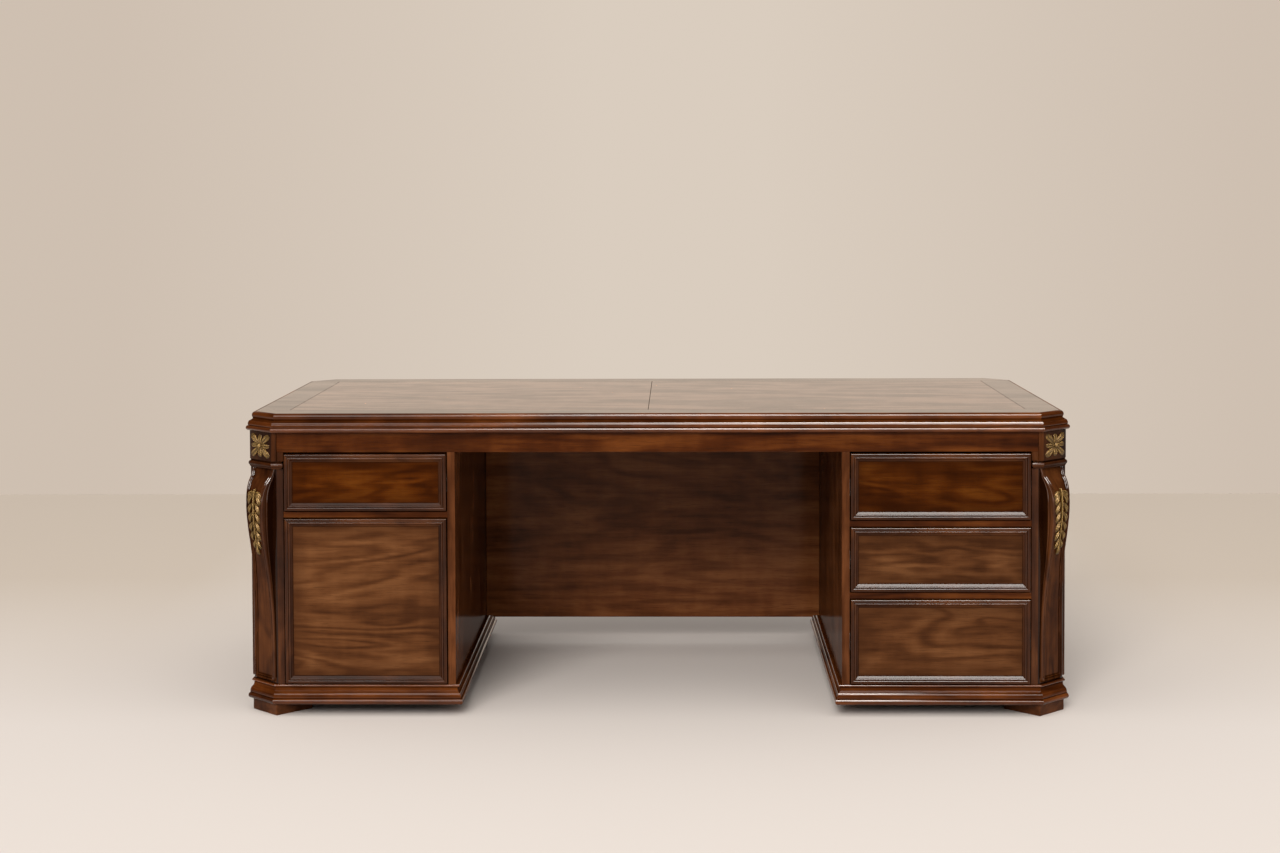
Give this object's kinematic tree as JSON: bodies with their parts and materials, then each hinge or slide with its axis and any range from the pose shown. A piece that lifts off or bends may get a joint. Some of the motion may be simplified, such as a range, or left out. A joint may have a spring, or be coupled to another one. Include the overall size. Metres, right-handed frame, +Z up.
{
  "type": "office desk",
  "caption": "Classical pedestal desk in dark lacquered wood with an octagonal moulded top, drawers and a door, and canted corners with gilt rosettes and acanthus corbels.",
  "frame": {"origin": "on the floor, under the centre of the top", "axes": "+X along the desk to the sitter's right, +Y away from the sitter, +Z up"},
  "size_m": [2.08, 1, 0.76],
  "materials": {
    "walnut_top": "glossy lacquered veneer",
    "walnut_veneer": "figured veneer under glossy lacquer",
    "walnut_solid": "dark stained solid wood under glossy lacquer",
    "carcass_wood": "dark stained board, satin",
    "drawer_wood": "clear satin lacquer",
    "gilt": "aged gilding, rubbed on the high points",
    "slide_steel": "zinc plated sheet",
    "fixing_steel": "zinc plated",
    "hinge_brass": "satin",
    "catch_plastic": "dark brown, matte"
  },
  "bodies": {
    "desk": {"acanthus_leaves": "gilt", "back_apron": "walnut_solid", "bracket_screws": "fixing_steel", "corbels": "walnut_solid", "corner_feet": "carcass_wood", "corner_posts": "walnut_solid", "front_apron": "walnut_veneer", "hinge_pin_plates": "hinge_brass", "inner_feet": "carcass_wood", "left_base_moulding": "walnut_solid", "left_divider": "walnut_solid", "left_inner_side": "walnut_solid", "left_outer_side": "walnut_solid", "magnet_catch": "catch_plastic", "modesty_cleats": "carcass_wood", "modesty_panel": "walnut_solid", "neck_mouldings": "walnut_solid", "panel_frames": "walnut_solid", "pedestal_backs": "walnut_solid", "pedestal_bottoms": "carcass_wood", "pedestal_liners": "carcass_wood", "right_base_moulding": "walnut_solid", "right_drawer_rails": "walnut_solid", "right_inner_side": "walnut_solid", "right_outer_side": "walnut_solid", "rosette_blocks": "walnut_solid", "rosettes": "gilt", "side_aprons": "walnut_solid", "slide_channels": "slide_steel", "top_border_bands": "walnut_top", "top_brackets": "fixing_steel", "top_core": "carcass_wood", "top_edge_moulding": "walnut_solid", "top_field_left": "walnut_top", "top_field_right": "walnut_top"},
    "door": {"door_panel": "walnut_veneer", "door_frame": "walnut_solid", "door_hinge_sockets": "hinge_brass", "door_strike_plate": "fixing_steel"},
    "left_drawer": {"left_drawer_front": "walnut_veneer", "left_drawer_frame": "walnut_solid", "left_drawer_box": "drawer_wood", "left_drawer_runners": "slide_steel"},
    "left_drawer_middle_slides": {"left_drawer_middle_slides": "slide_steel"},
    "right_lower_drawer": {"right_lower_drawer_front": "walnut_veneer", "right_lower_drawer_frame": "walnut_solid", "right_lower_drawer_box": "drawer_wood", "right_lower_drawer_runners": "slide_steel"},
    "right_lower_drawer_middle_slides": {"right_lower_drawer_middle_slides": "slide_steel"},
    "right_middle_drawer": {"right_middle_drawer_front": "walnut_veneer", "right_middle_drawer_frame": "walnut_solid", "right_middle_drawer_box": "drawer_wood", "right_middle_drawer_runners": "slide_steel"},
    "right_middle_drawer_middle_slides": {"right_middle_drawer_middle_slides": "slide_steel"},
    "right_upper_drawer": {"right_upper_drawer_front": "walnut_veneer", "right_upper_drawer_frame": "walnut_solid", "right_upper_drawer_box": "drawer_wood", "right_upper_drawer_runners": "slide_steel"},
    "right_upper_drawer_middle_slides": {"right_upper_drawer_middle_slides": "slide_steel"}
  },
  "joints": [
    {"name": "left_drawer_slide", "type": "slide", "parent": "desk", "child": "left_drawer", "axis": [0, -1, 0], "range_m": [0, 0.44]},
    {"name": "left_drawer_middle_slide", "type": "slide", "parent": "desk", "child": "left_drawer_middle_slides", "axis": [0, -1, 0], "range_m": [0, 0.22]},
    {"name": "right_lower_drawer_slide", "type": "slide", "parent": "desk", "child": "right_lower_drawer", "axis": [0, -1, 0], "range_m": [0, 0.44]},
    {"name": "right_lower_drawer_middle_slide", "type": "slide", "parent": "desk", "child": "right_lower_drawer_middle_slides", "axis": [0, -1, 0], "range_m": [0, 0.22]},
    {"name": "right_middle_drawer_slide", "type": "slide", "parent": "desk", "child": "right_middle_drawer", "axis": [0, -1, 0], "range_m": [0, 0.44]},
    {"name": "right_middle_drawer_middle_slide", "type": "slide", "parent": "desk", "child": "right_middle_drawer_middle_slides", "axis": [0, -1, 0], "range_m": [0, 0.22]},
    {"name": "right_upper_drawer_slide", "type": "slide", "parent": "desk", "child": "right_upper_drawer", "axis": [0, -1, 0], "range_m": [0, 0.44]},
    {"name": "right_upper_drawer_middle_slide", "type": "slide", "parent": "desk", "child": "right_upper_drawer_middle_slides", "axis": [0, -1, 0], "range_m": [0, 0.22]},
    {"name": "door_hinge", "type": "hinge", "parent": "desk", "child": "door", "pos_m": [-0.8935, -0.4795, 0.289], "axis": [0, 0, -1], "range_deg": [0, 105]}
  ],
  "couplings": [
    {"joint": "left_drawer_middle_slide", "follows": "left_drawer_slide", "ratio": 0.5},
    {"joint": "right_lower_drawer_middle_slide", "follows": "right_lower_drawer_slide", "ratio": 0.5},
    {"joint": "right_middle_drawer_middle_slide", "follows": "right_middle_drawer_slide", "ratio": 0.5},
    {"joint": "right_upper_drawer_middle_slide", "follows": "right_upper_drawer_slide", "ratio": 0.5}
  ]
}
